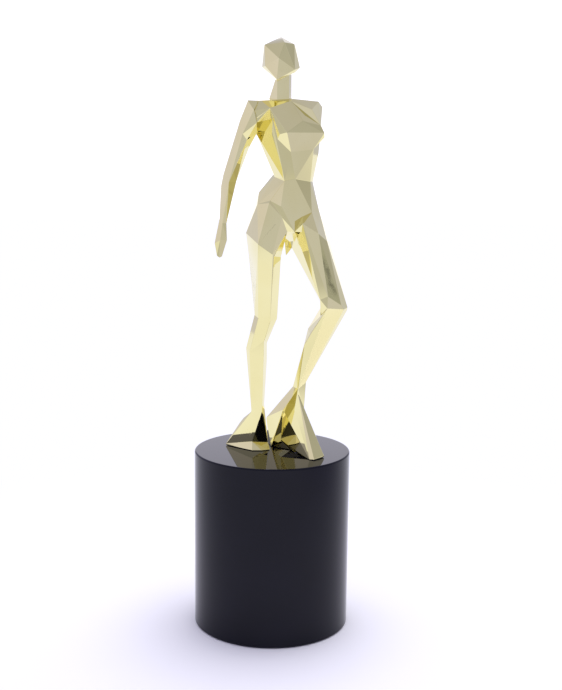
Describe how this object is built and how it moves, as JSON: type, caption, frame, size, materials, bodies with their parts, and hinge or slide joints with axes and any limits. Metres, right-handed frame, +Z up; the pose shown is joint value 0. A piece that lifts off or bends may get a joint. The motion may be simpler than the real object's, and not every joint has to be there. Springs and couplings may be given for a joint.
{
  "type": "figure trophy",
  "caption": "Faceted standing figure with one knee bent and an arm behind its back, plated pale gold, on a gloss black drum base.",
  "frame": {"origin": "middle of the underside of the base, on the surface that the trophy stands on", "axes": "+Z up through the base's axis; the figure faces -Y, so its left side is towards +X"},
  "size_m": [0.08, 0.08, 0.2982],
  "materials": {
    "gold_plate": "mirror-polished pale gold plate over a faceted zinc-alloy casting, clear lacquered",
    "gloss_black": "deep gloss black, polished top and side, softly broken top edge",
    "grey_board": "plain dark moulded board, fine matte grain",
    "cast_iron": "rough cast disc, sand texture, painted dark",
    "zinc_steel": "bright zinc-plated steel, turned and rolled",
    "black_felt": "pressed wool felt, soft nap"
  },
  "bodies": {
    "root": {"head": "gold_plate", "torso": "gold_plate", "right_arm": "gold_plate", "left_arm": "gold_plate", "right_leg": "gold_plate", "left_leg": "gold_plate", "neck_dowel": "zinc_steel", "right_shoulder_dowel": "zinc_steel", "left_shoulder_dowel": "zinc_steel", "right_hip_dowel": "zinc_steel", "left_hip_dowel": "zinc_steel", "right_foot_stud": "zinc_steel", "right_stud_washer": "zinc_steel", "right_stud_nut": "zinc_steel", "left_foot_stud": "zinc_steel", "left_stud_washer": "zinc_steel", "left_stud_nut": "zinc_steel", "plate_screw_1": "zinc_steel", "plate_screw_2": "zinc_steel", "plate_screw_3": "zinc_steel", "ballast_bolt": "zinc_steel", "base_shell": "gloss_black", "bottom_plate": "grey_board", "ballast_weight": "cast_iron", "felt_pad": "black_felt"}
  },
  "joints": []
}
